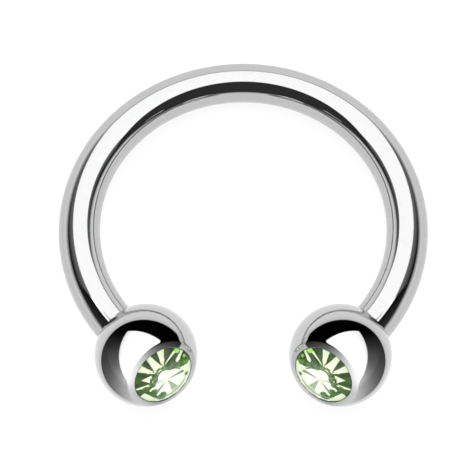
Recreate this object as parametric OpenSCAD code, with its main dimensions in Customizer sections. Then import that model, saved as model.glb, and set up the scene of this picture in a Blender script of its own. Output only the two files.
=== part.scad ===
// Horseshoe barbell, in millimetres: a round steel bar bent to an open ring, with a steel ball
// screwed on each end and a brilliant-cut stone set into each ball. It lies on its side on two
// balls and the ring's crown, and that resting plane is Z = 0.

/* [Bar] */
// Diameter of the round bar
bar_d = 1.2; // [1:0.05:1.6]
// Inner diameter of the ring
ring_inner_d = 8.4; // [7:0.1:12]
// Step from the bar's radius down to the mean radius of its threaded ends
thread_step = 0.08; // [0.05:0.01:0.12]
// Length of each threaded end
thread_l = 0.5; // [0.3:0.05:0.8]
// Chamfer round the tip of each threaded end
thread_chamfer = 0.1; // [0.02:0.02:0.2]

/* [Balls] */
// Diameter of each ball
ball_d = 2.85; // [2.6:0.05:4]
// Clear gap between the two balls
ball_gap = 2.55; // [1:0.05:4]
// How far the thread's tip stops short of the ball's centre
tip_gap = 0.4; // [0.3:0.05:0.6]
// Radial clearance of the bar and its thread in the ball
bore_clearance = 0.04; // [0.03:0.01:0.06]
// Gap between the bar's shoulder and the step inside the bore
shoulder_gap = 0.03; // [0.02:0.01:0.06]
// Depth of bore left free past the thread's tip
bore_run_out = 0.06; // [0.02:0.02:0.1]
// Countersink round the mouth of the bore
mouth_chamfer = 0.05; // [0.02:0.01:0.1]

/* [Setting] */
// Angle of the stone above the plane of the ring
stone_lift = 29; // [0:1:40]
// Angle of the stone from the bar's end, measured in the plane of the ring
stone_swing = 10; // [-20:1:20]
// Width of the lip round the stone
lip_w = 0.165; // [0.1:0.005:0.24]
// Fall of the lip from the stone out to the ball
lip_slope = 22; // [5:1:30]
// How far the girdle lies under the edge of the lip
girdle_sink = 0.01; // [0:0.005:0.04]
// Clearance all round the stone
stone_clearance = 0.012; // [0.008:0.002:0.02]

/* [Stone] */
// Diameter of the stone at its girdle
stone_d = 1.7; // [1.5:0.01:1.8]
// Height of the girdle
girdle_h = 0.04; // [0.02:0.01:0.08]
// Diameter of the table, corner to corner, as a share of the stone
table_share = 0.56; // [0.5:0.01:0.65]
// Slope of the eight main facets above the girdle
crown_angle = 33; // [25:1:36]
// Slope of the eight main facets below the girdle
pavilion_angle = 41; // [38:1:43]
// Length of the star facets, as a share of the way from table to girdle
star_share = 0.5; // [0.4:0.05:0.6]
// Length of the lower half facets, as a share of the way from girdle to point
lower_share = 0.75; // [0.6:0.05:0.85]
// Turn of the cut about the stone's own axis
stone_spin = 11; // [0:1:45]

/* [Hidden] */
$fn = 96;

bar_r = bar_d / 2;
thread_r = bar_r - thread_step;
ball_r = ball_d / 2;
stone_r = stone_d / 2;

// Ring, seen square on: centre at the origin, crown towards +Y, balls towards -Y
ring_r = ring_inner_d / 2 + bar_r;
bend_to_ball = thread_l + tip_gap;
ball_reach = norm([ring_r, bend_to_ball]);
ball_x = (ball_gap + ball_d) / 2;
ball_y = sqrt(pow(ball_reach, 2) - pow(ball_x, 2));
// Half the angle that the bar leaves open, from -Y to where its straight end begins
open_half = asin(ball_x / ball_reach) + atan(bend_to_ball / ring_r);

// Lying on its side: the ring leans from the balls down to its crown
lean = asin((ball_r - bar_r) / (ring_r + ball_y));
rest_z = ring_r * sin(lean) + bar_r;
front_y = ball_y * cos(lean) + ball_r;
back_y = ring_r * cos(lean) + bar_r;
rest_y = (front_y - back_y) / 2;

// Setting, measured from the ball's centre along the stone's axis
mouth_r = bar_r + bore_clearance;
thread_bore_r = thread_r + bore_clearance;
seat_r = stone_r + stone_clearance;
lip_r = seat_r + lip_w;
lip_low = sqrt(pow(ball_r, 2) - pow(lip_r, 2));
lip_high = lip_low + lip_w * tan(lip_slope);
girdle_top = lip_high - girdle_sink;
pavilion_h = stone_r * tan(pavilion_angle);
seat_point = girdle_top - girdle_h - pavilion_h - stone_clearance / cos(pavilion_angle);

// Cut of the stone, measured from the top of its girdle
mains = 8;
halves = 2 * mains;
half_turn = 360 / halves;
table_r = stone_r * table_share;
table_z = (stone_r - table_r) * tan(crown_angle);
star_edge_r = table_r * cos(half_turn);
star_r = star_edge_r + star_share * (stone_r - star_edge_r);
star_z = (stone_r - star_r * cos(half_turn)) * tan(crown_angle);
lower_r = stone_r * (1 - lower_share);
lower_z = -girdle_h - (stone_r - lower_r * cos(half_turn)) * tan(pavilion_angle);

// Ring of points round the Z axis
function ring(count, r, z, turn) =
    [for (i = [0 : count - 1]) [r * cos(turn + i * 360 / count), r * sin(turn + i * 360 / count), z]];

// Round brilliant with its axis on Z, its crown set on a girdle that ends at Z = 0
module brilliant() {
    table = 0;
    star = table + mains;
    upper = star + mains;
    lower = upper + halves;
    tip = lower + halves;
    culet = tip + mains;
    polyhedron(
        points = concat(
            ring(mains, table_r, table_z, 0),
            ring(mains, star_r, star_z, half_turn),
            ring(halves, stone_r, 0, 0),
            ring(halves, stone_r, -girdle_h, 0),
            ring(mains, lower_r, lower_z, half_turn),
            [[0, 0, -girdle_h - pavilion_h]]
        ),
        faces = [
            [for (i = [mains - 1 : -1 : 0]) table + i],
            for (i = [0 : mains - 1])
                let (
                    next = (i + 1) % mains,
                    back = (i + mains - 1) % mains,
                    corner = 2 * i,
                    mid = corner + 1,
                    far = (corner + 2) % halves
                )
                each [
                    [table + i, table + next, star + i],
                    [table + i, star + i, upper + corner, star + back],
                    [upper + corner, star + i, upper + mid],
                    [star + i, upper + far, upper + mid],
                    [upper + corner, upper + mid, lower + mid, lower + corner],
                    [upper + mid, upper + far, lower + far, lower + mid],
                    [lower + corner, lower + mid, tip + i],
                    [lower + mid, lower + far, tip + i],
                    [lower + corner, tip + i, culet, tip + back]
                ]
        ]
    );
}

// What is turned out of the ball: all beyond the lip, the seat's wall and its cone
module stone_seat() {
    beyond = ball_d;
    girdle_low = girdle_top - girdle_h - stone_clearance * tan(pavilion_angle / 2);
    rotate_extrude()
        polygon([
            [0, seat_point],
            [seat_r, girdle_low],
            [seat_r, lip_high],
            [lip_r, lip_low],
            [ball_d, lip_low - (ball_d - lip_r) * tan(lip_slope)],
            [ball_d, beyond],
            [0, beyond]
        ]);
}

// Stepped bore for the bar's end, along +X up to where the thread's tip stops
module bar_bore() {
    step_x = shoulder_gap - bend_to_ball;
    blind_x = bore_run_out - tip_gap;
    mouth_x = -sqrt(pow(ball_r, 2) - pow(mouth_r + mouth_chamfer, 2));
    rotate([0, 90, 0]) {
        translate([0, 0, -ball_d]) cylinder(r = thread_bore_r, h = ball_d + blind_x);
        translate([0, 0, -ball_d]) cylinder(r = mouth_r, h = ball_d + step_x);
        translate([0, 0, mouth_x - mouth_chamfer])
            cylinder(r1 = mouth_r + 2 * mouth_chamfer, r2 = mouth_r, h = 2 * mouth_chamfer);
    }
}

// Turns +Z to the stone's axis, in a ball whose bar comes in along +X
module on_stone_axis() {
    rotate([0, 0, -stone_swing]) rotate([0, 90 - stone_lift, 0]) children();
}

// One ball, centred on the origin, with its bar coming in along +X
module ball() {
    difference() {
        sphere(r = ball_r);
        on_stone_axis() stone_seat();
        bar_bore();
    }
}

// One stone in its place in a ball that is centred on the origin
module stone() {
    on_stone_axis()
        translate([0, 0, girdle_top])
            rotate([0, 0, stone_spin])
                brilliant();
}

// Threaded end with a chamfered tip, along +X from where the bend stops and rooted inside the bend
module threaded_end() {
    root = thread_r;
    shank = thread_l - thread_chamfer;
    rotate([0, 90, 0]) {
        translate([0, 0, -root]) cylinder(r = thread_r, h = root + shank);
        translate([0, 0, shank])
            cylinder(r1 = thread_r, r2 = thread_r - thread_chamfer, h = thread_chamfer);
    }
}

// Puts children at the left ball's centre, with +X along the bar's end
module at_left_ball() {
    translate([-ball_x, -ball_y, 0]) rotate([0, 0, -open_half]) children();
}

module bend() {
    rotate([0, 0, open_half - 90])
        rotate_extrude(angle = 360 - 2 * open_half)
            translate([ring_r, 0]) circle(r = bar_r);
}

// Repeats children as their own mirror image across the ring
module both_sides() {
    children();
    mirror([1, 0, 0]) children();
}

// Lays the ring down on its two balls and its crown
module lying() {
    translate([0, rest_y, rest_z]) rotate([-lean, 0, 0]) children();
}

module curved_bar() {
    color("silver") {
        bend();
        both_sides() at_left_ball() translate([-bend_to_ball, 0, 0]) threaded_end();
    }
}

module left_ball() {
    color("silver") at_left_ball() ball();
}

module left_stone() {
    color("yellowgreen") at_left_ball() stone();
}

lying() curved_bar();
lying() left_ball();
lying() mirror([1, 0, 0]) left_ball();  // right_ball
lying() left_stone();
lying() mirror([1, 0, 0]) left_stone();  // right_stone
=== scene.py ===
import math

import bpy
import numpy as np
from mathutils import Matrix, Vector


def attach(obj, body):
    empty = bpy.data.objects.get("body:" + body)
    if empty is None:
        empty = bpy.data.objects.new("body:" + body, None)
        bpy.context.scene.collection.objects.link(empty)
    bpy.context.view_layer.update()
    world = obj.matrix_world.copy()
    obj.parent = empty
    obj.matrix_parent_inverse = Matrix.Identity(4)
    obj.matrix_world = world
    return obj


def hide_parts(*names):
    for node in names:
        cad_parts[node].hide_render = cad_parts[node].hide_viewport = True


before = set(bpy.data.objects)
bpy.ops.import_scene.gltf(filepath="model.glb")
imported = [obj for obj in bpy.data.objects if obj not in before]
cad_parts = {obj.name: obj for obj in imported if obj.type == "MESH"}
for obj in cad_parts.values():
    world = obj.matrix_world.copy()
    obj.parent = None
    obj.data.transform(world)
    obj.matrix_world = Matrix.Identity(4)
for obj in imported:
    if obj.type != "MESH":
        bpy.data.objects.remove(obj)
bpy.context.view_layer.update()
print("frame loaded:", sorted(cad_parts))

mm = 0.001
white = (1.0, 1.0, 1.0, 1.0)

# where the ring lies: it leans from its balls down to its crown, and its plane's normal is ringUp
lie = dict(
    ringRadius=4.8,  # from the ring's centre to the middle of the bar
    barRadius=0.6,
    ballRadius=1.425,
    ballX=2.7,  # ball centre, off the middle of the ring
    bendToBall=0.9,  # from where the bend stops to the ball's centre
)
ballY = math.sqrt(lie["ringRadius"] ** 2 + lie["bendToBall"] ** 2 - lie["ballX"] ** 2)
ballReach = math.hypot(lie["ringRadius"], lie["bendToBall"])
openHalf = math.asin(lie["ballX"] / ballReach) + math.atan(lie["bendToBall"] / lie["ringRadius"])
lean = math.asin((lie["ballRadius"] - lie["barRadius"]) / (lie["ringRadius"] + ballY))
ringAcross = np.array([1.0, 0.0, 0.0])
ringAlong = np.array([0.0, math.cos(lean), -math.sin(lean)])
ringUp = np.array([0.0, math.sin(lean), math.cos(lean)])
frontY = ballY * math.cos(lean) + lie["ballRadius"]
backY = lie["ringRadius"] * math.cos(lean) + lie["barRadius"]
ringCentre = np.array([0.0, (frontY - backY) / 2, lie["ringRadius"] * math.sin(lean) + lie["barRadius"]])
ballCentre = ringCentre - lie["ballX"] * ringAcross - ballY * ringAlong
endAxis = math.cos(openHalf) * ringAcross - math.sin(openHalf) * ringAlong
ballAxes = np.array([endAxis, np.cross(ringUp, endAxis), ringUp])


# the mirror image of a surface on the other side of the ring
def mirrored(points):
    return points * np.array([-1.0, 1.0, 1.0])


# a mesh in millimetres becomes an object in metres, smooth but for edges past sharpAngle, or with flat
# facets where no such angle is given
def addPiece(name, points, faces, body, slotName, replaced, sharpAngle=None, uvOfPoint=None, slotOfFace=None):
    mesh = bpy.data.meshes.new(name)
    mesh.from_pydata((np.asarray(points) * mm).tolist(), [], faces)
    mesh.polygons.foreach_set("use_smooth", np.full(len(faces), sharpAngle is not None))
    if sharpAngle is not None:
        mesh.set_sharp_from_angle(angle=math.radians(sharpAngle))
    if slotOfFace is not None:
        mesh.polygons.foreach_set("material_index", np.asarray(slotOfFace, dtype=np.int32))
    if uvOfPoint is not None:
        layer = mesh.uv_layers.new(name="acrossStone")
        layer.data.foreach_set("uv", uvOfPoint[np.concatenate(faces)].astype(np.float32).ravel())
    mesh.update()
    piece = bpy.data.objects.new(name, mesh)
    bpy.context.scene.collection.objects.link(piece)
    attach(piece, body)
    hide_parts(replaced)
    return piece


# the left piece, and its mirror image on the right, whose faces run the other way round
def addPair(kind, points, faces, slotName, **more):
    pair = []
    for side, placed, wound in (
        ("left", points, faces),
        ("right", mirrored(points), [face[::-1] for face in faces]),
    ):
        node = side + "_" + kind.lower()
        pair.append(addPiece(side + kind, placed, wound, side + "_end", slotName, node, **more))
    return pair


# equal angles all the way round
def roundTurn(count):
    return np.arange(count) * 2 * math.pi / count


# quads between neighbouring rings of points, with every ring running the same way round
def ringQuads(ringCount, roundCount):
    row = np.arange(ringCount - 1)[:, None] * roundCount
    here = np.arange(roundCount)
    there = (here + 1) % roundCount
    quads = np.stack([row + here, row + there, row + roundCount + there, row + roundCount + here], axis=-1)
    return quads.reshape(-1, 4)


# closed skin over rings of points: quads between the rings and a fan of triangles at each end
def skin(rings, firstPole, lastPole, flip=False):
    ringCount, roundCount, _ = rings.shape
    points = np.vstack([rings.reshape(-1, 3), firstPole[None], lastPole[None]])
    quads = ringQuads(ringCount, roundCount)
    here = np.arange(roundCount)
    there = (here + 1) % roundCount
    last = (ringCount - 1) * roundCount
    firstFan = np.stack([there, here, np.full(roundCount, len(points) - 2)], axis=-1)
    lastFan = np.stack([last + here, last + there, np.full(roundCount, len(points) - 1)], axis=-1)
    if flip:
        quads, firstFan, lastFan = quads[:, ::-1], firstFan[:, ::-1], lastFan[:, ::-1]
    return points, quads.tolist() + firstFan.tolist() + lastFan.tolist()


bar = dict(
    threadRadius=0.52,
    threadLength=0.5,
    threadChamfer=0.1,
    shoulderRound=0.03,  # soft edge of the bar's shoulder
    shoulderCount=7,
    alongCount=360,
    roundCount=96,
    sharpAngle=40,
)


# a radius carried along a path: the threaded end, its shoulder with a soft edge, then the bend, whose
# centreline is an arc of ringRadius, and the same again backwards at the other end
def barSurface():
    soft = bar["shoulderRound"]
    quarter = np.linspace(0, 0.5 * math.pi, bar["shoulderCount"])
    past = np.concatenate(
        [[bar["threadLength"], bar["threadLength"] - bar["threadChamfer"], 0.0], soft * (np.cos(quarter) - 1)]
    )
    radius = np.concatenate(
        [
            [bar["threadRadius"] - bar["threadChamfer"], bar["threadRadius"], bar["threadRadius"]],
            lie["barRadius"] - soft + soft * np.sin(quarter),
        ]
    )
    endAngle = openHalf - np.minimum(past, 0) / lie["ringRadius"]
    straight = np.maximum(past, 0)
    bendAngle = np.linspace(endAngle[-1], 2 * math.pi - endAngle[-1], bar["alongCount"])[1:-1]
    angle = np.concatenate([endAngle, bendAngle, 2 * math.pi - endAngle[::-1]])
    extra = np.concatenate([straight, np.zeros(len(bendAngle)), -straight[::-1]])
    radius = np.concatenate([radius, np.full(len(bendAngle), lie["barRadius"]), radius[::-1]])
    outward = -np.outer(np.sin(angle), ringAcross) - np.outer(np.cos(angle), ringAlong)
    forward = -np.outer(np.cos(angle), ringAcross) + np.outer(np.sin(angle), ringAlong)
    centres = ringCentre + lie["ringRadius"] * outward - extra[:, None] * forward
    turn = roundTurn(bar["roundCount"])
    spokes = np.cos(turn)[None, :, None] * outward[:, None, :] + np.sin(turn)[None, :, None] * ringUp
    return centres[:, None, :] + radius[:, None, None] * spokes, centres


barRings, barCentres = barSurface()
barPoints, barFaces = skin(barRings, barCentres[0], barCentres[-1])
barPiece = addPiece("polishedBar", barPoints, barFaces, "bar", "bar_steel", "curved_bar", bar["sharpAngle"])
print("bar:", len(barFaces), "faces")

# a round brilliant
stone = dict(
    mains=8,  # main facets of the crown, and of the pavilion
    girdleRadius=0.85,
    girdleHeight=0.04,
    tableShare=0.56,
    crownAngle=33.0,
    pavilionAngle=41.0,
    starShare=0.5,
    lowerShare=0.75,
    spin=11.0,  # turn of the cut about the stone's own axis, degrees
    clearance=0.012,
    sink=0.01,  # girdle under the edge of the lip
    arcCount=6,  # steps of the round girdle under one half facet
    dishShare=0.985,  # a thin closed dish at the girdle carries the painted reflections of the facets that are seen inside
    dishDepth=0.05,
    dishSides=24,
    dishTurn=6.5,  # degrees
)

ball = dict(
    mouthRadius=0.64,  # bore round the bar
    mouthChamfer=0.05,
    stepDepth=0.87,  # where the bore narrows, from the ball's centre
    threadRadius=0.56,
    blindDepth=0.34,
    mouthRound=0.012,  # soft edge of the chamfer
    mouthEdge=0.015,  # and where the sphere starts past it
    seatRadius=0.862,
    seatTip=0.02,
    lipWidth=0.165,
    lipSlope=22.0,  # degrees
    lipRound=0.03,
    stoneLift=29.0,  # degrees above the ring's plane
    stoneSwing=10.0,  # degrees from the bar's end, in the ring's plane
    roundCount=160,
    sphereCount=120,
    cornerCount=7,
    lipCount=9,
    sharpAngle=40,
)
swing, lift = math.radians(ball["stoneSwing"]), math.radians(ball["stoneLift"])
stoneAxis = np.array([math.cos(lift) * math.cos(swing), -math.cos(lift) * math.sin(swing), math.sin(lift)])
stoneDown = np.array([math.sin(lift) * math.cos(swing), -math.sin(lift) * math.sin(swing), -math.cos(lift)])
stoneAxes = np.array([stoneDown, np.cross(stoneAxis, stoneDown), stoneAxis])
lipRadius = ball["seatRadius"] + ball["lipWidth"]
lipLow = math.sqrt(lie["ballRadius"] ** 2 - lipRadius**2)
lipHigh = lipLow + ball["lipWidth"] * math.tan(math.radians(ball["lipSlope"]))
girdleTop = lipHigh - stone["sink"]
crownSlope, pavilionSlope = math.radians(stone["crownAngle"]), math.radians(stone["pavilionAngle"])
pavilionHeight = stone["girdleRadius"] * math.tan(pavilionSlope)
girdleLow = girdleTop - stone["girdleHeight"] - stone["clearance"] * math.tan(pavilionSlope / 2)
seatPoint = girdleTop - stone["girdleHeight"] - pavilionHeight - stone["clearance"] / math.cos(pavilionSlope)


# soft corner: a cubic curve that leaves one point along its direction and meets the other along its own
def softCorner(start, startWay, end, endWay, count, fullness=1.1):
    t = np.linspace(0, 1, count)[:, None]
    span = np.linalg.norm(end - start) * fullness
    return (
        (2 * t**3 - 3 * t**2 + 1) * start
        + (t**3 - 2 * t**2 + t) * span * startWay
        + (3 * t**2 - 2 * t**3) * end
        + (t**3 - t**2) * span * endWay
    )


# the sphere between two round holes: seen from one limit point of the two circles, through a
# stereographic map, they are concentric, so the rings between them are too, their radii in one ratio
def sphereBetween(firstAxis, firstCosine, secondAxis, secondCosine, ringCount, roundCount):
    between = np.dot(firstAxis, secondAxis)
    a = 1 - secondCosine**2
    b = 2 * (between - firstCosine * secondCosine)
    c = 1 - firstCosine**2
    roots = np.roots([a, b, c]).real
    limits = [(firstAxis + k * secondAxis) / (firstCosine + k * secondCosine) for k in roots]
    limits.sort(key=lambda point: -np.dot(point, firstAxis))
    near, far = limits
    side = np.cross(near, far)
    side /= np.linalg.norm(side)
    flat = np.cross(side, far)

    def toPlane(p):
        scale = 1 / (1 - p @ far)
        return np.stack([(p @ flat) * scale, (p @ side) * scale], axis=-1)

    def fromPlane(q):
        square = np.sum(q**2, axis=-1, keepdims=True)
        return (2 * q[..., :1] * flat + 2 * q[..., 1:] * side + (square - 1) * far) / (square + 1)

    def onCircle(axis, cosine):
        across = np.cross(axis, side)
        across /= np.linalg.norm(across)
        return cosine * axis + math.sqrt(1 - cosine**2) * across

    middle = toPlane(near)
    firstRadius = np.linalg.norm(toPlane(onCircle(firstAxis, firstCosine)) - middle)
    secondRadius = np.linalg.norm(toPlane(onCircle(secondAxis, secondCosine)) - middle)
    radius = firstRadius * (secondRadius / firstRadius) ** np.linspace(0, 1, ringCount)
    turn = roundTurn(roundCount)
    circle = np.stack([np.cos(turn), np.sin(turn)], axis=-1)
    return fromPlane(middle + radius[:, None, None] * circle[None, :, :])


# a profile of (radius, height) points turned round an axis, at the angles that given points have round it
def lathe(profile, axis, givenPoints):
    start = np.cross(axis, [0.3, 0.5, 0.8])  # any direction off the axis would do
    start /= np.linalg.norm(start)
    other = np.cross(axis, start)
    turn = np.arctan2(givenPoints @ other, givenPoints @ start)
    spokes = np.cos(turn)[:, None] * start + np.sin(turn)[:, None] * other
    return profile[:, None, :1] * spokes[None, :, :] + profile[:, None, 1:] * axis


# in the ball's own axes: the seat's cone, wall and lip, the sphere, then the stepped bore
def ballSurface():
    radius = lie["ballRadius"]
    soft = ball["lipRound"]
    slope = math.radians(ball["lipSlope"])
    lipWay = np.array([math.cos(slope), -math.sin(slope)])
    openLip = math.asin(lipRadius / radius) + soft / radius
    sphereStart = radius * np.array([math.sin(openLip), math.cos(openLip)])
    sphereWay = np.array([math.cos(openLip), -math.sin(openLip)])
    innerCorner = np.array([ball["seatRadius"], lipHigh])
    outerCorner = np.array([lipRadius, lipLow])
    up = np.array([0.0, 1.0])
    lipStart, lipNext = innerCorner - 0.5 * soft * up, innerCorner + 0.5 * soft * lipWay
    seatStart = seatPoint + ball["seatTip"] * math.tan(pavilionSlope)
    seat = np.vstack(
        [
            [[ball["seatTip"], seatStart], [ball["seatRadius"], girdleLow]],
            softCorner(lipStart, up, lipNext, lipWay, ball["cornerCount"]),
            softCorner(outerCorner - soft * lipWay, lipWay, sphereStart, sphereWay, ball["lipCount"]),
        ]
    )
    mouth = ball["mouthRadius"] + ball["mouthChamfer"]
    openMouth = math.asin(mouth / radius) + ball["mouthEdge"] / radius
    mouthHigh = math.sqrt(radius**2 - mouth**2)
    sphereEnd = radius * np.array([math.sin(openMouth), math.cos(openMouth)])
    sphereIn = np.array([-math.cos(openMouth), math.sin(openMouth)])
    chamferWay = np.array([-1.0, -1.0]) / math.sqrt(2)
    chamferStart = np.array([mouth, mouthHigh]) + ball["mouthRound"] * chamferWay
    bore = np.vstack(
        [
            softCorner(sphereEnd, sphereIn, chamferStart, chamferWay, ball["cornerCount"]),
            [
                [ball["mouthRadius"], mouthHigh - ball["mouthChamfer"]],
                [ball["mouthRadius"], ball["stepDepth"]],
                [ball["threadRadius"], ball["stepDepth"]],
                [ball["threadRadius"], ball["blindDepth"]],
            ],
        ]
    )
    boreAxis = np.array([-1.0, 0.0, 0.0])
    sphere = radius * sphereBetween(
        stoneAxis, math.cos(openLip), boreAxis, math.cos(openMouth), ball["sphereCount"], ball["roundCount"]
    )
    rings = np.concatenate(
        [lathe(seat, stoneAxis, sphere[0])[:-1], sphere, lathe(bore, boreAxis, sphere[-1])[1:]]
    )
    return rings, seatPoint * stoneAxis, ball["blindDepth"] * boreAxis


ballRings, seatPole, borePole = ballSurface()
ballPoints, ballFaces = skin(ballRings, seatPole, borePole)
ballPoints = ballCentre + ballPoints @ ballAxes
balls = addPair("Ball", ballPoints, ballFaces, "ball_steel", sharpAngle=ball["sharpAngle"])
print("balls:", len(ballFaces), "faces each")


# a round brilliant: rings of corners at the table, the star tips, the girdle and the half tips, joined
# by flat facets; a half facet ends on the round girdle, where the arc's height is its plane's
def stoneSurface():
    mains, steps = stone["mains"], stone["arcCount"]
    half = math.pi / mains
    r = stone["girdleRadius"]
    tableRadius = r * stone["tableShare"]
    tableHeight = (r - tableRadius) * math.tan(crownSlope)
    starEdge = tableRadius * math.cos(half)
    starRadius = starEdge + stone["starShare"] * (r - starEdge)
    starHeight = (r - starRadius * math.cos(half)) * math.tan(crownSlope)
    tipRadius = r * (1 - stone["lowerShare"])
    tipHeight = -(r - tipRadius * math.cos(half)) * math.tan(pavilionSlope)
    arcTurn = np.arange(2 * mains * steps) * half / steps  # all round the girdle

    def ring(radius, height, turn):
        return np.stack([radius * np.cos(turn), radius * np.sin(turn), np.full_like(turn, height)], axis=-1)

    # height of the plane through a half facet's tip and its two girdle corners, along its arc
    def arcHeight(tipR, tipZ):
        phase = np.mod(arcTurn, half)
        toMiddle = np.where(np.floor(arcTurn / half + 1e-9) % 2 == 0, half - phase, phase)
        x, y = r * np.cos(toMiddle), r * np.sin(toMiddle)
        middle = np.array([r, 0.0, 0.0])
        corner = np.array([r * math.cos(half), r * math.sin(half), 0.0])
        normal = np.cross(corner - middle, np.array([tipR, 0.0, tipZ]) - middle)
        return -(normal[0] * (x - r) + normal[1] * y) / normal[2]

    corners = np.arange(mains) * 2 * half
    above = ring(r, 0.0, arcTurn)
    above[:, 2] = arcHeight(starRadius, starHeight)
    below = ring(r, 0.0, arcTurn)
    below[:, 2] = arcHeight(tipRadius, tipHeight) - stone["girdleHeight"]
    points = np.vstack(
        [
            ring(tableRadius, tableHeight, corners),
            ring(starRadius, starHeight, corners + half),
            above,
            below,
            ring(tipRadius, tipHeight - stone["girdleHeight"], corners + half),
            [[0.0, 0.0, -pavilionHeight - stone["girdleHeight"]]],
        ]
    )
    table, star, upper = 0, mains, 2 * mains
    lower = upper + len(above)
    tip = lower + len(below)
    culet = tip + mains
    crown, pavilion = [list(range(mains))], []
    around = 2 * mains * steps
    for i in range(mains):
        after, before = (i + 1) % mains, (i - 1) % mains
        corner = 2 * i * steps
        crown += [
            [table + after, table + i, star + i],
            [table + i, star + before, upper + corner, star + i],
        ]
        pavilion.append([lower + corner, tip + before, culet, tip + i])
        for start in (corner, corner + steps):
            arc = [(start + k) % around for k in range(steps + 1)]
            crown.append([star + i] + [upper + k for k in arc])
            pavilion.append([tip + i] + [lower + k for k in arc[::-1]])
            pavilion += [[upper + m, lower + m, lower + n, upper + n] for m, n in zip(arc, arc[1:])]
    # the dish: a sheet inside the stone that carries the painted reflections of its facets
    sides, rim, low = stone["dishSides"], len(points), -stone["girdleHeight"]
    dish = ring(r * stone["dishShare"], low, math.radians(stone["dishTurn"]) + roundTurn(sides))
    poles = [[0.0, 0.0, low - share * stone["dishDepth"]] for share in (1, 2)]
    inside = [[rim + i, rim + (i + 1) % sides, rim + sides] for i in range(sides)]
    under = [[rim + (i + 1) % sides, rim + i, rim + sides + 1] for i in range(sides)]
    slots = [0] * len(crown) + [1] * len(pavilion) + [2] * len(inside) + [1] * len(under)
    return np.vstack([points, dish, poles]), crown + pavilion + inside + under, slots


stonePoints, stoneFaces, stoneSlots = stoneSurface()
spin = math.radians(stone["spin"])
spun = stonePoints @ np.array(
    [[math.cos(spin), math.sin(spin), 0.0], [-math.sin(spin), math.cos(spin), 0.0], [0.0, 0.0, 1.0]]
)
# the stone's own plane is its map, with the axis at the middle
stones = addPair(
    "Stone",
    ballCentre + ((spun + [0.0, 0.0, girdleTop]) @ stoneAxes) @ ballAxes,
    stoneFaces,
    "green_stone",
    uvOfPoint=0.5 + 0.5 * spun[:, :2] / stone["girdleRadius"],
    slotOfFace=stoneSlots,
)
print("stones:", len(stoneFaces), "facets each")


# a socket's value, used in ordinary arithmetic
class Value:
    def __init__(self, sheet, socket):
        self.sheet = sheet
        self.socket = socket

    def __add__(self, other):
        return self.sheet.maths("ADD", self, other)

    def __radd__(self, other):
        return self.sheet.maths("ADD", other, self)

    def __sub__(self, other):
        return self.sheet.maths("SUBTRACT", self, other)

    def __rsub__(self, other):
        return self.sheet.maths("SUBTRACT", other, self)

    def __mul__(self, other):
        return self.sheet.maths("MULTIPLY", self, other)

    def __rmul__(self, other):
        return self.sheet.maths("MULTIPLY", other, self)

    def __truediv__(self, other):
        return self.sheet.maths("DIVIDE", self, other)

    def __rtruediv__(self, other):
        return self.sheet.maths("DIVIDE", other, self)

    def __neg__(self):
        return self.sheet.maths("MULTIPLY", self, -1.0)


# a node tree that nodes are put on one after another
class Sheet:
    def __init__(self, tree):
        self.tree = tree
        tree.nodes.clear()

    # settings are put on the node first, then each socket gets its value or its link
    def node(self, kind, settings=None, sockets=None, out=0):
        made = self.tree.nodes.new(kind)
        for key, value in (settings or {}).items():
            setattr(made, key, value)
        for key, value in (sockets or {}).items():
            if isinstance(value, Value):
                self.tree.links.new(value.socket, made.inputs[key])
            else:
                made.inputs[key].default_value = value
        return Value(self, made.outputs[out]) if len(made.outputs) else made

    def maths(self, operation, *values):
        return self.node("ShaderNodeMath", {"operation": operation}, dict(enumerate(values)))

    def dot(self, one, other):
        product = {"operation": "DOT_PRODUCT"}
        return self.node("ShaderNodeVectorMath", product, {0: one, 1: other}, out="Value")

    # the named parts of a vector, such as "XY"
    def parts(self, vector, axes):
        return [self.node("ShaderNodeSeparateXYZ", None, {"Vector": vector}, out=axis) for axis in axes]

    # 0 below the first edge, 1 above the second, straight between
    def ramp(self, value, low, high):
        return self.node(
            "ShaderNodeMapRange", {"clamp": True}, {"Value": value, "From Min": low, "From Max": high}
        )


def newMaterial(name):
    material = bpy.data.materials.new(name)
    material.use_nodes = True
    return material, Sheet(material.node_tree)


steel = dict(
    colour=(0.6, 0.6, 0.605, 1.0),
    roughness=0.035,
    smudgeRoughness=0.05,  # more where the polish is smudged
    smudgeFrom=0.5,  # the noise at which a smudge starts and is full
    smudgeTo=0.75,
    smudgePerMm=0.9,
    grainPerMm=22.0,
    grainDepth=0.00002,  # mm
)


# mirror-polished steel with faint smudges and a trace of polishing grain
def steelMaterial(name):
    material, sheet = newMaterial(name)
    place = sheet.node("ShaderNodeTexCoord", out="Object")
    smudge = sheet.node(
        "ShaderNodeTexNoise", None, {"Vector": place, "Scale": steel["smudgePerMm"] / mm, "Detail": 4.0}
    )
    grain = sheet.node(
        "ShaderNodeTexNoise", None, {"Vector": place, "Scale": steel["grainPerMm"] / mm, "Detail": 2.0}
    )
    smudged = sheet.ramp(smudge, steel["smudgeFrom"], steel["smudgeTo"])
    rough = steel["roughness"] + smudged * steel["smudgeRoughness"]
    bump = sheet.node(
        "ShaderNodeBump", None, {"Strength": 1.0, "Distance": steel["grainDepth"] * mm, "Height": grain}
    )
    shader = sheet.node(
        "ShaderNodeBsdfPrincipled",
        None,
        {"Base Color": steel["colour"], "Metallic": 1.0, "Roughness": rough, "Normal": bump},
    )
    sheet.node("ShaderNodeOutputMaterial", None, {"Surface": shader})
    return material


crystal = dict(
    colour=(0.97, 1.0, 0.94, 1.0),
    refraction=1.55,
    backColour=(0.3, 0.42, 0.2, 1.0),
    backRoughness=0.15,
)
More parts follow.
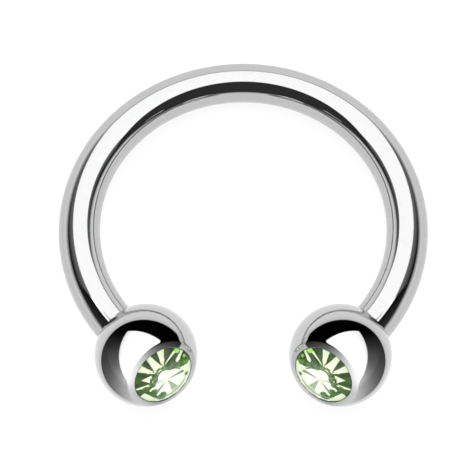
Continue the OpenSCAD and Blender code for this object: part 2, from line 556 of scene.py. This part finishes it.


# clear crystal over the crown, green foil on the pavilion, and on the dish the painted reflections of the
# facets seen inside
def crystalMaterials():
    crown, sheet = newMaterial("greenCrystal")
    shader = sheet.node(
        "ShaderNodeBsdfPrincipled",
        None,
        {
            "Base Color": crystal["colour"],
            "Roughness": 0.0,
            "IOR": crystal["refraction"],
            "Transmission Weight": 1.0,
        },
    )
    sheet.node("ShaderNodeOutputMaterial", None, {"Surface": shader})
    back, sheet = newMaterial("greenFoil")
    shader = sheet.node(
        "ShaderNodeBsdfPrincipled",
        None,
        {"Base Color": crystal["backColour"], "Metallic": 1.0, "Roughness": crystal["backRoughness"]},
    )
    sheet.node("ShaderNodeOutputMaterial", None, {"Surface": shader})
    return crown, back, paintedReflectionMaterial()


# painted reflections of the room's light and dark, as the left stone's facets mirror it, painted as colour on
# the
# dish: the girdle has radius 1, and angles are in degrees round the axis, from the stone's lowest point; the
# right stone shows their mirror image
paintedReflections = dict(
    lightTowards=20.0,  # the low side is all light, within lightHalf of this
    lightHalf=61.0,
    # painted reflections of light facets on the high side: the angle, radius and half width at the inner end,
    # then at the outer end
    wedges=(
        (164.0, 0.3, 0.0, 164.0, 1.0, 0.13),
        (-169.5, 0.33, 0.14, -169.5, 1.0, 0.07),
        (-143.0, 0.33, 0.0, -143.0, 1.0, 0.13),
        (-114.0, 0.42, 0.13, -116.0, 0.75, 0.0),
        (-91.0, 0.5, 0.015, -97.0, 1.0, 0.04),
        (-59.0, 0.73, 0.25, -59.0, 1.0, 0.32),
        (-70.0, 0.4, 0.03, -70.0, 0.58, 0.06),
        (154.0, 0.4, 0.01, 132.0, 0.85, 0.05),
        (111.0, 0.55, 0.03, 116.0, 1.0, 0.06),
        (76.0, 0.6, 0.0, 76.0, 1.0, 0.16),
    ),
    farSide=10.0,  # the light middle reaches further this way
    farFade=(-0.3, 0.6),  # cosines where a fade starts and is full, as below
    middleFar=0.66,
    middleNear=0.24,
    middleShift=0.17,  # its dark rays meet this far off the axis, towards farSide
    # the rays: angle, half width and how dark
    rays=((85.0, 6.5, 0.85), (11.0, 14.0, 0.7), (-67.0, 6.0, 0.85), (-114.0, 4.0, 0.7)),
    # painted reflections in single facets: angle, radius, size and colour
    flecks=(
        (127.0, 0.9, 0.12, (0.47, 0.88, 0.16, 1.0)),
        (87.0, 0.77, 0.12, (0.1, 0.28, 0.03, 1.0)),
        (94.0, 0.84, 0.06, (0.02, 0.09, 0.005, 1.0)),
        (103.0, 0.86, 0.07, (0.3, 0.6, 0.06, 1.0)),
        (56.0, 0.74, 0.09, (0.02, 0.06, 0.015, 1.0)),
        (-29.0, 0.72, 0.17, (0.04, 0.13, 0.015, 1.0)),
        (-60.0, 0.58, 0.1, (0.03, 0.12, 0.01, 1.0)),
    ),
    fleckCore=0.8,  # share of a patch's size that is full
    lineRadius=0.71,  # a painted dark line along the girdle, on the low side, where the facets there mirror the dark
    lineTowards=5.0,
    lineFade=(0.7, 0.85),
    lineHalf=(0.015, 0.045),
    lineDepth=0.8,
    facetEdge=0.012,  # how soft the sides, the ends and the outlines are
    endEdge=0.01,
    creaseEdge=0.02,
    fanEdge=1.0,  # degrees
    rayEdge=1.5,
    dark=(0.068, 0.1, 0.045, 1.0),
    darkAcross=(0.055, 0.14, 0.015, 1.0),  # dark facets along acrossTowards, on both sides
    acrossTowards=80.0,
    acrossFade=(0.1, 0.9),
    darkFar=(0.09, 0.19, 0.035, 1.0),
    darkFarFade=(-0.2, 0.9),
    darkInner=(0.13, 0.22, 0.08, 1.0),
    innerFade=(0.55, 0.3),  # radii
    darkest=(0.01, 0.045, 0.0, 1.0),
    sectors=12,  # every dark sector has one half painted darker than the other, where its two facets mirror the dark unevenly
    firstSector=10.0,
    halfDarker=0.5,
    cloudScale=7.0,  # soft clouds make dark and light uneven
    cloudFade=(0.35, 0.65),
    cloudDarker=0.3,
    cloudLightFade=(0.45, 0.75),
    cloudInLight=0.25,
    light=(0.92, 1.0, 0.78, 1.0),
    lightMiddle=(0.9, 0.94, 0.85, 1.0),
    lightDull=(0.62, 0.78, 0.45, 1.0),
)


# a point in the stone's plane, from its angle in degrees and its radius
def aroundStone(angle, radius):
    return radius * math.cos(math.radians(angle)), radius * math.sin(math.radians(angle))


# the cosines of an angle in degrees made a little wider and a little narrower
def softCosines(angle, edge):
    return math.cos(math.radians(angle + edge)), math.cos(math.radians(angle - edge))


# painted reflections of the facets: light is the largest of the low side's fan and the wedges, and in the
# middle 1 but for the rays; each colour is mixed from the painted dark to the painted light by that share
def paintedReflectionMaterial():
    material, sheet = newMaterial("greenPaintedReflections")
    place = sheet.node("ShaderNodeUVMap", {"uv_map": "acrossStone"}, out="UV")
    x, y = (part * 2.0 - 1.0 for part in sheet.parts(place, "XY"))
    radius = sheet.maths("SQRT", x * x + y * y)
    turn = sheet.maths("ARCTAN2", y, x)

    def mix(share, one, other):
        return sheet.node("ShaderNodeMix", {"data_type": "RGBA"}, {0: share, 6: one, 7: other}, out=2)

    def facing(angle):
        return sheet.maths("COSINE", turn - math.radians(angle))

    # 1 inside a strip from one point to another, whose half width goes evenly from the first to the second
    def strip(start, startHalf, end, endHalf):
        length = math.dist(start, end)
        wayX, wayY = (end[0] - start[0]) / length, (end[1] - start[1]) / length
        dx, dy = x - start[0], y - start[1]
        along = dx * wayX + dy * wayY
        across = sheet.maths("ABSOLUTE", dy * wayX - dx * wayY)
        half = along * ((endHalf - startHalf) / length) + startHalf
        soft, endSoft = paintedReflections["facetEdge"], paintedReflections["endEdge"]
        within = sheet.ramp(half - across, -soft, soft) * sheet.ramp(along, -endSoft, endSoft)
        return within * (1 - sheet.ramp(along, length - endSoft, length + endSoft))

    outer = sheet.ramp(facing(paintedReflections["lightTowards"]), *softCosines(paintedReflections["lightHalf"], paintedReflections["fanEdge"]))
    for startAngle, startRadius, startHalf, endAngle, endRadius, endHalf in paintedReflections["wedges"]:
        start, end = aroundStone(startAngle, startRadius), aroundStone(endAngle, endRadius)
        outer = sheet.maths("MAXIMUM", outer, strip(start, startHalf, end, endHalf))
    farX, farY = aroundStone(paintedReflections["farSide"], paintedReflections["middleShift"])
    turnThere = sheet.maths("ARCTAN2", y - farY, x - farX)
    inner = 1.0
    for angle, halfWidth, depth in paintedReflections["rays"]:
        near = sheet.maths("COSINE", turnThere - math.radians(angle))
        ray = sheet.ramp(near, *softCosines(halfWidth, paintedReflections["rayEdge"])) * depth
        inner = sheet.maths("MINIMUM", 1 - ray, inner)
    far = sheet.ramp(facing(paintedReflections["farSide"]), *paintedReflections["farFade"])
    reach = far * (paintedReflections["middleFar"] - paintedReflections["middleNear"]) + paintedReflections["middleNear"]
    middle = 1 - sheet.ramp(radius - reach, -paintedReflections["endEdge"], paintedReflections["endEdge"])
    light = outer + (inner - outer) * middle

    # dark facets, painted reflections of the dark room: greener across, greener towards the far side and near
    # the middle, uneven and half darker
    across = sheet.maths("COSINE", turn * 2.0 - math.radians(2 * paintedReflections["acrossTowards"]))
    dark = mix(sheet.ramp(across, *paintedReflections["acrossFade"]), paintedReflections["dark"], paintedReflections["darkAcross"])
    dark = mix(sheet.ramp(facing(paintedReflections["farSide"]), *paintedReflections["darkFarFade"]), dark, paintedReflections["darkFar"])
    dark = mix(sheet.ramp(radius, *paintedReflections["innerFade"]), dark, paintedReflections["darkInner"])
    cloud = sheet.node(
        "ShaderNodeTexNoise", None, {"Vector": place, "Scale": paintedReflections["cloudScale"], "Detail": 3.0}
    )
    offset = 0.5 + paintedReflections["sectors"] * (1 - paintedReflections["firstSector"] / 360)
    sector = sheet.maths("FRACT", turn * (paintedReflections["sectors"] / (2 * math.pi)) + offset) * 2.0 - 1.0
    crease = paintedReflections["creaseEdge"] / sheet.maths("MAXIMUM", radius, 0.05)
    shade = sheet.ramp(sector, -crease, crease) * paintedReflections["halfDarker"]
    shade = shade + sheet.ramp(cloud, *paintedReflections["cloudFade"]) * paintedReflections["cloudDarker"]
    dark = mix(shade, dark, paintedReflections["darkest"])

    bright = mix(middle, paintedReflections["light"], paintedReflections["lightMiddle"])
    dull = sheet.ramp(cloud, *paintedReflections["cloudLightFade"]) * paintedReflections["cloudInLight"]
    bright = mix(dull, bright, paintedReflections["lightDull"])
    colour = mix(light, dark, bright)
    for angle, away, size, tone in paintedReflections["flecks"]:
        fleckX, fleckY = aroundStone(angle, away)
        dx, dy = x - fleckX, y - fleckY
        gap = sheet.maths("SQRT", dx * dx + dy * dy)
        colour = mix(1 - sheet.ramp(gap, size * paintedReflections["fleckCore"], size), colour, tone)
    line = 1 - sheet.ramp(sheet.maths("ABSOLUTE", radius - paintedReflections["lineRadius"]), *paintedReflections["lineHalf"])
    line = line * sheet.ramp(facing(paintedReflections["lineTowards"]), *paintedReflections["lineFade"]) * paintedReflections["lineDepth"]
    shader = sheet.node(
        "ShaderNodeBsdfPrincipled",
        None,
        {"Base Color": mix(line, colour, paintedReflections["darkFar"]), "Roughness": 0.5, "Specular IOR Level": 0.0},
    )
    sheet.node("ShaderNodeOutputMaterial", None, {"Surface": shader})
    return material


barSteel, ballSteel = steelMaterial("barSteel"), steelMaterial("ballSteel")
barPiece.data.materials.append(barSteel)
for piece in balls:
    piece.data.materials.append(ballSteel)
for material in crystalMaterials():
    for piece in stones:
        piece.data.materials.append(material)
print("materials made")

view = dict(
    distance=33.184,  # mm from the ring's centre
    elevation=70.18,
    sensor=36.0,
    focal=86.6,
    shiftAcross=-0.0177,
    shiftUp=-0.0264,
)
rise = math.radians(view["elevation"])
cameraWay = np.array([0.0, -math.cos(rise), math.sin(rise)])  # from the ring's centre towards the camera

studio = dict(
    floorSize=3.0,  # metres
    floorColour=(0.9, 0.9, 0.9, 1.0),
    floorGlow=0.92,  # share of plain white that the camera sees in the floor's shadows
    floorSeen=0.89,  # brightness of the floor as the bar sees it, up to the wall
    floorFade=0.1,  # mm
    skyBack=0.001,
    skyFront=0.04,
    skyFade=(-0.2, 0.3),
)

# lamps in millimetres: width and height, the middle, the way that it faces and its brightness as seen in a
# mirror; soft is the share of each half that fades out at the sides and at the ends
barLamps = dict(
    barBox=dict(size=(27.4, 21.5), at=(0.0, 10.7, 15.2), light=1.36, soft=(0.1, 0.06)),
    barHalo=dict(size=(56.0, 21.5), at=(0.0, 10.7, 15.3), light=0.22, soft=(0.52, 0.06)),
)
# a small level panel lengthens the box's reflection where the bar reaches each ball
wing = dict(
    height=5.0,
    light=1.58,
    corners=((-6.66, -1.72), (-5.68, -1.88), (-5.02, -2.5), (-5.4, -3.25), (-6.1, -2.42)),
)
# a glowing wall round the ring, lower at the front; only the bar sees it. Each fade is a pair of places from
# the front, -1, to the back, 1
wall = dict(
    radius=20.0,
    bottom=0.05,
    height=24.0,
    roundCount=128,
    rowCount=9,
    light=0.94,
    frontTop=3.4,  # mm, where its light has fallen to a half
    toSide=3.1,  # more at the sides
    sideFade=(-0.57, -0.2),
    toCorner=2.0,  # and more again at the back corners
    cornerFade=(0.0, 0.7),
    toBack=5.0,
    backFade=(0.7, 1.0),
    frontSoft=2.6,  # mm either way
    backSoft=2.5,
    softFade=(-0.6, 0.0),
)
# what the left ball sees round it; the right one sees its mirror image
tent = dict(
    radius=14.0,  # mm from the ball's centre
    layerGap=0.5,  # no two tents share a surface
    floorGap=0.02,
    roundCount=96,
    fallCount=96,
    stepCount=8,  # steps that find where the camera's ray leaves the ball
    boxTurn=-22.5,  # the softbox overhead, its edges as slopes from straight up
    boxLeft=-1.385,
    boxRight=0.504,
    boxTop=0.701,
    boxSoft=0.05,  # its left edge
    boxCrisp=0.015,  # its other edges
    boxLow=(0.05, 0.1),  # heights where it starts and is full
    boxLight=1.75,
    boxFall=0.5,  # how much dimmer its left edge is
    boxFallWidth=0.6,
    glowTowards=(0.0, -1.0, 0.0),  # the lit side of the room, narrowing as a power of the cosine
    glowLight=1.55,
    glowPower=3.6,
    glowLow=0.6,  # share of it that is left below the horizon
    glowFade=(-0.2, 0.2),
    fillTowards=(-0.707, -0.707, 0.0),
    fillLight=0.15,
    tableTilt=(-0.026, -0.609, 0.793),  # the table is seen more than tableFrom past square to this
    tableFrom=0.335,
    tableSoft=0.012,
    inwardWay=(0.75, 0.85),  # and a little above the horizon towards the other ball
    inwardHeight=(0.02, 0.06),
    tableLight=1.0,
    tableEdgeLight=0.8,
    tableFade=0.2,
)
# the left stone's tent: bright to the light that enters the stone, dimmer where its facets mirror it, with
# a patch that its table mirrors
stoneTent = dict(
    light=2.25,
    mirrored=0.65,
    patchAngle=22.0,
    patchEdge=10.0,
    patchLight=1.8,
)
keyLamp = dict(
    size=(700.0, 700.0),
    at=(0.0, 100.0, 400.0),
    facing=(0, -0.24, -0.97),
    light=5.5,
    soft=(0.3, 0.3),
)


# only the named pieces are lit by a lamp or a glowing surface
def lightOnly(thing, names):
    lit = bpy.data.collections.new(thing.name + "On")
    for name in names:
        lit.objects.link(bpy.data.objects[name])
    thing.light_linking.receiver_collection = lit


# a wide white floor: the camera sees it nearly shadowless, and the steel sees it evenly lit
def makeFloor():
    half = studio["floorSize"] / 2
    corners = [(-half, -half, 0), (half, -half, 0), (half, half, 0), (-half, half, 0)]
    mesh = bpy.data.meshes.new("floor")
    mesh.from_pydata(corners, [], [(0, 1, 2, 3)])
    floor = bpy.data.objects.new("floor", mesh)
    bpy.context.scene.collection.objects.link(floor)
    material, sheet = newMaterial("paleFloor")
    paper = sheet.node(
        "ShaderNodeBsdfPrincipled",
        None,
        {"Base Color": studio["floorColour"], "Roughness": 0.9, "Specular IOR Level": 0.0},
    )
    glow = sheet.node("ShaderNodeEmission", None, {"Color": white, "Strength": 1.0})
    place = sheet.node("ShaderNodeTexCoord", out="Object")
    away = sheet.node("ShaderNodeVectorMath", {"operation": "LENGTH"}, {0: place}, out="Value") / mm
    edge, fade = wall["radius"], studio["floorFade"]
    within = (1 - sheet.ramp(away, edge - fade, edge + fade)) * studio["floorSeen"]
    even = sheet.node("ShaderNodeEmission", None, {"Color": white, "Strength": within})
    seen = sheet.node("ShaderNodeLightPath", out="Is Camera Ray")
    bright = sheet.node("ShaderNodeMixShader", None, {0: studio["floorGlow"], 1: paper, 2: glow})
    shader = sheet.node("ShaderNodeMixShader", None, {0: seen, 1: even, 2: bright})
    sheet.node("ShaderNodeOutputMaterial", None, {"Surface": shader})
    mesh.materials.append(material)
    lightOnly(floor, ["polishedBar"])


# an area lamp that the camera can't see, bright in the middle and fading at its edges
def makeLamp(name, on, size, at, light, soft, facing=(0, 0, -1)):
    lamp = bpy.data.lights.new(name, "AREA")
    lamp.shape = "RECTANGLE"
    lamp.size, lamp.size_y = size[0] * mm, size[1] * mm
    lamp.energy = light * math.pi * lamp.size * lamp.size_y
    lamp.use_nodes = True
    sheet = Sheet(lamp.node_tree)
    place = sheet.node("ShaderNodeNewGeometry", out="Parametric")
    fade = 1.0
    for part, share in zip(sheet.parts(place, "XY"), soft):
        off = sheet.maths("ABSOLUTE", part * 2.0 - 1.0)
        fade = (1 - sheet.ramp(off, 1.0 - share, 1.0)) * fade
    glow = sheet.node("ShaderNodeEmission", None, {"Color": white, "Strength": fade})
    sheet.node("ShaderNodeOutputLight", None, {"Surface": glow})
    thing = bpy.data.objects.new(name, lamp)
    thing.location = Vector(at) * mm
    thing.rotation_euler = (-Vector(facing)).to_track_quat("Z", "Y").to_euler()
    thing.visible_camera = False
    bpy.context.scene.collection.objects.link(thing)
    lightOnly(thing, on)


# a surface that glows but blocks nothing: only the named pieces see it, and the camera doesn't
def glowingPiece(name, on, points, faces, towards=None):
    mesh = bpy.data.meshes.new(name)
    mesh.from_pydata((np.asarray(points) * mm).tolist(), [], faces)
    if towards is not None:
        layer = mesh.attributes.new("seenTowards", "FLOAT_VECTOR", "POINT")
        layer.data.foreach_set("vector", towards.ravel())
    thing = bpy.data.objects.new(name, mesh)
    bpy.context.scene.collection.objects.link(thing)
    material, sheet = newMaterial(name)
    mesh.materials.append(material)
    thing.visible_camera = False
    thing.visible_shadow = False
    lightOnly(thing, on)
    return sheet


def glowWith(sheet, light):
    glowing = sheet.node("ShaderNodeEmission", None, {"Color": white, "Strength": light})
    clear = sheet.node("ShaderNodeBsdfTransparent")
    both = sheet.node("ShaderNodeAddShader", None, {0: glowing, 1: clear})
    sheet.node("ShaderNodeOutputMaterial", None, {"Surface": both})


# an upright round wall, from just over the floor
def makeWall():
    turn = roundTurn(wall["roundCount"])[None, :]
    high = np.linspace(wall["bottom"], wall["height"], wall["rowCount"])[:, None]
    rings = np.broadcast_arrays(wall["radius"] * np.cos(turn), wall["radius"] * np.sin(turn), high)
    points = np.stack(rings, axis=-1).reshape(-1, 3)
    faces = ringQuads(wall["rowCount"], wall["roundCount"]).tolist()
    sheet = glowingPiece("wall", ["polishedBar"], points, faces)
    place = sheet.node("ShaderNodeTexCoord", out="Object")
    y, z = (part / mm for part in sheet.parts(place, "YZ"))
    back = y / wall["radius"]
    top = (
        sheet.ramp(back, *wall["sideFade"]) * wall["toSide"]
        + sheet.ramp(back, *wall["cornerFade"]) * wall["toCorner"]
        + sheet.ramp(back, *wall["backFade"]) * wall["toBack"]
        + wall["frontTop"]
    )
    soft = sheet.ramp(back, *wall["softFade"]) * (wall["backSoft"] - wall["frontSoft"]) + wall["frontSoft"]
    glowWith(sheet, (1 - sheet.ramp((z - top) / soft, -1.0, 1.0)) * wall["light"])


# a flat panel on the left and its mirror image on the right
def makeWings():
    points = np.array([corner + (wing["height"],) for corner in wing["corners"]])
    face = list(range(len(points)))
    for name, placed in (("leftWing", points), ("rightWing", mirrored(points))):
        glowWith(glowingPiece(name, ["polishedBar"], placed, [face]), wing["light"])


# each way at length 1
def unit(ways):
    return ways / np.linalg.norm(ways, axis=-1, keepdims=True)


# a tent round the left ball, or the right one: a sphere cut off just over the floor. Each point keeps the
# way that the camera's ray leaves the ball when it is mirrored to that point, found by stepping to and fro
# between that way and the spot on the ball
def makeTent(name, on, right, layer, lightOf):
    down = ballCentre[2] - tent["floorGap"] * layer
    radius = tent["radius"] + tent["layerGap"] * layer
    turn = roundTurn(tent["roundCount"])[None, :]
    fall = np.linspace(0, math.pi, tent["fallCount"] + 2)[1:-1, None]
    parts = np.broadcast_arrays(np.sin(fall) * np.cos(turn), np.sin(fall) * np.sin(turn), np.cos(fall))
    ways = np.stack(parts, axis=-1)
    reach = np.minimum(radius, down / np.maximum(-ways[..., 2:], 1e-6))
    points, faces = skin(reach * ways, np.array([0, 0, radius]), np.array([0, 0, -down]), flip=right)
    seen = unit(points)
    for _ in range(tent["stepCount"]):
        seen = unit(points - lie["ballRadius"] * unit(seen + cameraWay))
    points = ballCentre + points
    sheet = glowingPiece(name, on, mirrored(points) if right else points, faces, seen)
    way = sheet.node("ShaderNodeAttribute", {"attribute_name": "seenTowards"}, out="Vector")
    glowWith(sheet, lightOf(sheet, way))


# a turned softbox overhead, a glow from the front with a weak fill beside it, and below them the table
def ballLight(sheet, way):
    x, y, z = sheet.parts(way, "XYZ")
    flat = sheet.maths("SQRT", sheet.maths("MAXIMUM", x * x + y * y, 1e-4))

    def past(value, edge, soft):
        return sheet.ramp(value, edge - soft, edge + soft)

    def towards(level):
        return sheet.maths("MAXIMUM", sheet.dot(way, level) / flat, 0.0)

    lowest, full = tent["boxLow"]
    height = sheet.maths("MAXIMUM", z, lowest)
    cosine, sine = math.cos(math.radians(tent["boxTurn"])), math.sin(math.radians(tent["boxTurn"]))
    across = (x * cosine + y * sine) / height
    along = (y * cosine - x * sine) / height
    box = (
        past(across, tent["boxLeft"], tent["boxSoft"])
        * (1 - past(across, tent["boxRight"], tent["boxCrisp"]))
        * (1 - past(along, tent["boxTop"], tent["boxCrisp"]))
        * sheet.ramp(z, lowest, full)
    )
    fromLeft = sheet.ramp(across, tent["boxLeft"], tent["boxLeft"] + tent["boxFallWidth"])
    bright = fromLeft * tent["boxFall"] + (tent["boxLight"] - tent["boxFall"])
    glow = sheet.maths("POWER", towards(tent["glowTowards"]), tent["glowPower"]) * tent["glowLight"]
    glow = glow * (sheet.ramp(z, *tent["glowFade"]) * (1 - tent["glowLow"]) + tent["glowLow"])
    side = towards(tent["fillTowards"])
    fill = side * side * tent["fillLight"]
    down = sheet.dot(way, tuple(-part for part in tent["tableTilt"]))
    low = past(down, tent["tableFrom"], tent["tableSoft"])
    inward = sheet.ramp(x / flat, *tent["inwardWay"]) * (1 - sheet.ramp(z, *tent["inwardHeight"]))
    low = sheet.maths("MAXIMUM", low, inward)
    table = sheet.ramp(down, tent["tableFrom"], tent["tableFrom"] + tent["tableFade"])
    table = table * (tent["tableLight"] - tent["tableEdgeLight"]) + tent["tableEdgeLight"]
    return (box * bright + glow + fill) * (1 - low) + table * low


# full light on the rays that are inside the stone, and on the others a dimmer one with the table's patch
def stoneLight(sheet, way):
    square = stoneAxes[2] @ ballAxes
    tableWay = 2 * (square @ cameraWay) * square - cameraWay
    near, far = (math.cos(math.radians(stoneTent["patchAngle"] + k)) for k in (0, stoneTent["patchEdge"]))
    patch = sheet.ramp(sheet.dot(way, tuple(tableWay)), far, near)
    shine = patch * (stoneTent["patchLight"] - stoneTent["mirrored"]) + stoneTent["mirrored"]
    entering = sheet.node("ShaderNodeLightPath", out="Is Transmission Ray")
    return entering * stoneTent["light"] + (1 - entering) * shine


# a dark studio, darkest at the back; the camera itself sees plain white past the floor
def makeWorld():
    world = bpy.data.worlds.new("studio")
    bpy.context.scene.world = world
    world.use_nodes = True
    sheet = Sheet(world.node_tree)
    way = sheet.node("ShaderNodeTexCoord", out="Generated")
    front = -sheet.parts(way, "Y")[0]
    seen = sheet.node("ShaderNodeLightPath", out="Is Camera Ray")
    darkest, brightest = studio["skyBack"], studio["skyFront"]
    light = sheet.ramp(front, *studio["skyFade"]) * (brightest - darkest) + darkest
    strength = light * (1 - seen) + seen
    background = sheet.node("ShaderNodeBackground", None, {"Color": white, "Strength": strength})
    sheet.node("ShaderNodeOutputWorld", None, {"Surface": background})


makeFloor()
makeWall()
makeWings()
for name, settings in barLamps.items():
    makeLamp(name, ["polishedBar"], **settings)
makeTent("leftTent", ["leftBall"], False, 1, ballLight)
makeTent("rightTent", ["rightBall"], True, 2, ballLight)
makeTent("leftStoneTent", ["leftStone"], False, 3, stoneLight)
makeTent("rightStoneTent", ["rightStone"], True, 4, stoneLight)
makeLamp("key", ["floor"], **keyLamp)
makeWorld()
print("studio made")


def makeCamera():
    data = bpy.data.cameras.new("camera")
    data.sensor_width = view["sensor"]
    data.sensor_fit = "AUTO"
    data.lens = view["focal"]
    data.shift_x, data.shift_y = view["shiftAcross"], view["shiftUp"]
    data.clip_start, data.clip_end = 0.001, 10.0
    camera = bpy.data.objects.new("camera", data)
    camera.location = Vector((ringCentre + view["distance"] * cameraWay) * mm)
    camera.rotation_euler = Vector(cameraWay).to_track_quat("Z", "Y").to_euler()
    bpy.context.scene.collection.objects.link(camera)
    bpy.context.scene.camera = camera


makeCamera()
bpy.context.scene.view_settings.view_transform = "Standard"
bpy.context.scene.view_settings.look = "None"
print("camera made")
